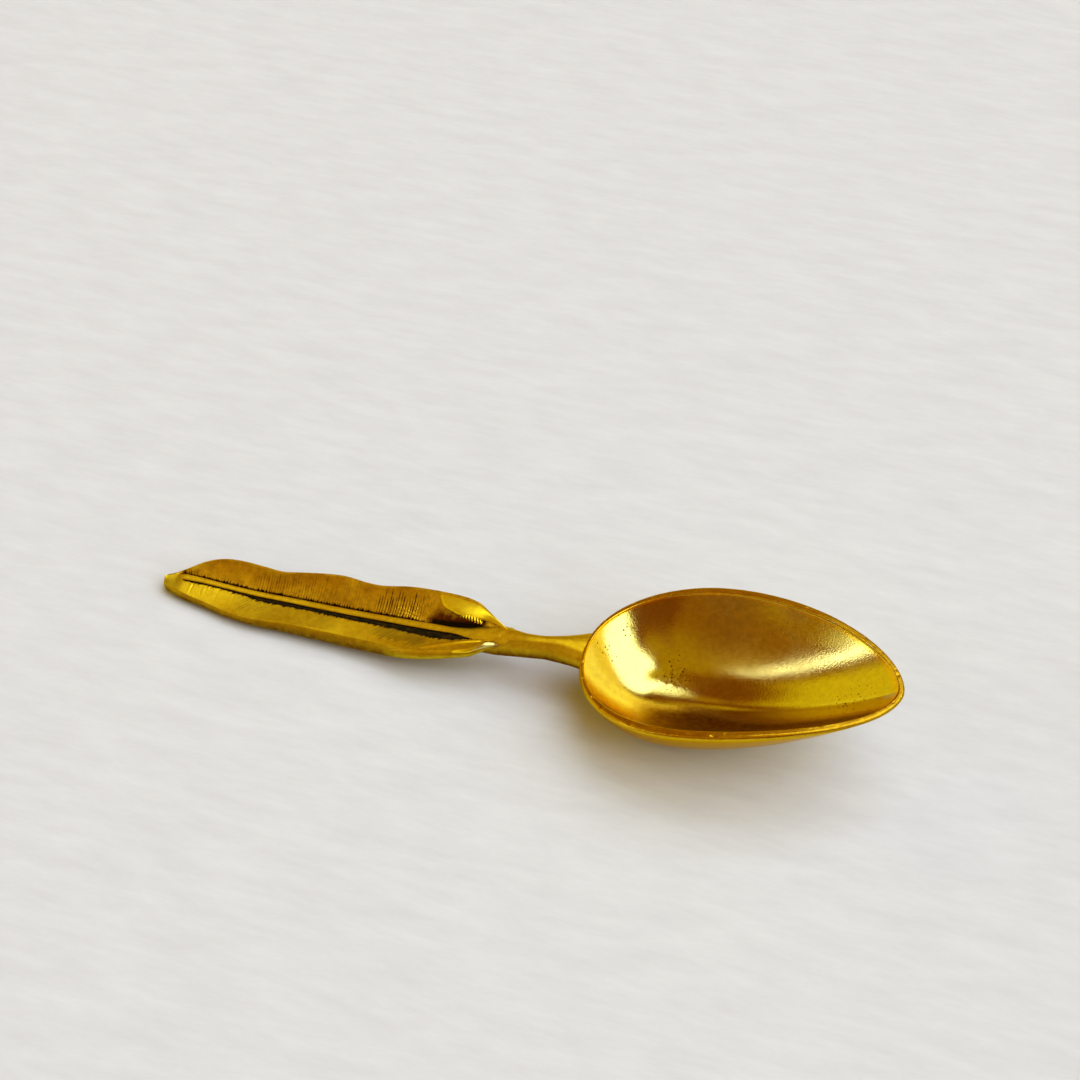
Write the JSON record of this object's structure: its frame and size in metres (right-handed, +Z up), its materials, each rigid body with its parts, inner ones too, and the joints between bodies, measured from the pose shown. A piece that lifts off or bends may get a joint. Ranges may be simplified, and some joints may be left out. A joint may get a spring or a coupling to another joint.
{
  "type": "nut serving spoon",
  "caption": "Gold-plated brass nut spoon with a deep scoop bowl, a short round stem and a leaf-shaped handle with a raised midrib.",
  "frame": {"origin": "on the table, under the middle of the spoon's length and width", "axes": "+X from the leaf's tip to the bowl's tip, +Y across the spoon to the side of the folded ear, +Z up from the table"},
  "size_m": [0.15, 0.0382, 0.0212],
  "materials": {
    "bowl_gold": "satin gold plate with small casting pits",
    "stem_gold": "satin gold plate",
    "far_blade_gold": "gold plate over fine cross lines, dark towards the groove",
    "near_blade_gold": "satin gold plate",
    "braze_gold": "gold plate, slightly darker",
    "groove_patina": "dark antique patina"
  },
  "bodies": {
    "root": {"bowl": "bowl_gold", "stem_and_midrib": "stem_gold", "far_leaf_blade": "far_blade_gold", "near_leaf_blade": "near_blade_gold", "heel_braze": "braze_gold", "far_groove_braze": "groove_patina", "near_groove_braze": "groove_patina"}
  },
  "joints": []
}
